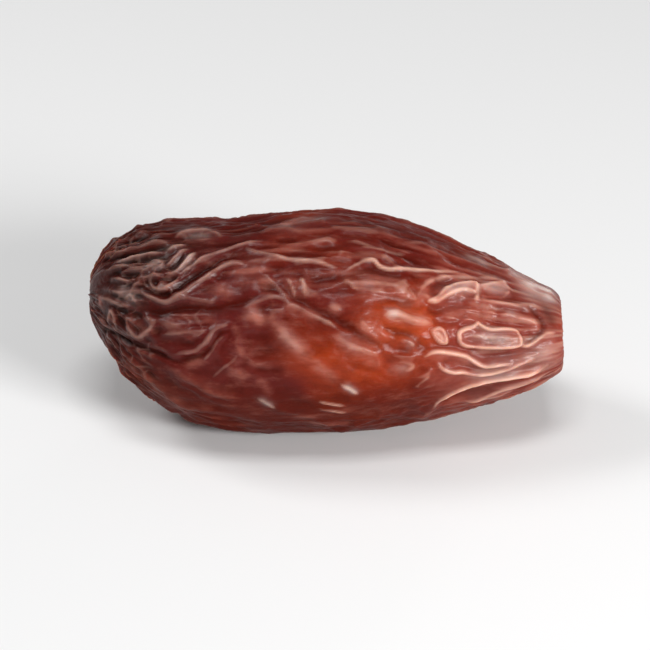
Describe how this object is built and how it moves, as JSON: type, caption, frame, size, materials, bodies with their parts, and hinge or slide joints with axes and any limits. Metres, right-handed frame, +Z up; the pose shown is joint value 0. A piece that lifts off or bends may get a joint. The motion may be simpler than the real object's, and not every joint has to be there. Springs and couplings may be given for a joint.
{
  "type": "mabroom date",
  "caption": "Whole dried date, long and oval with a wrinkled leathery red-brown skin, lying on its side on a small flattened spot.",
  "frame": {"origin": "middle of the bounding box's floor, under the fruit", "axes": "+X along the fruit towards the flat scar of its stalk, -X to its flower tip, +Z up, -Y the side that the picture shows"},
  "size_m": [0.0474, 0.0234, 0.0218],
  "materials": {
    "skin": "wrinkled, waxy, satin to glossy on the ridges"
  },
  "bodies": {
    "root": {"date": "skin"}
  },
  "joints": []
}
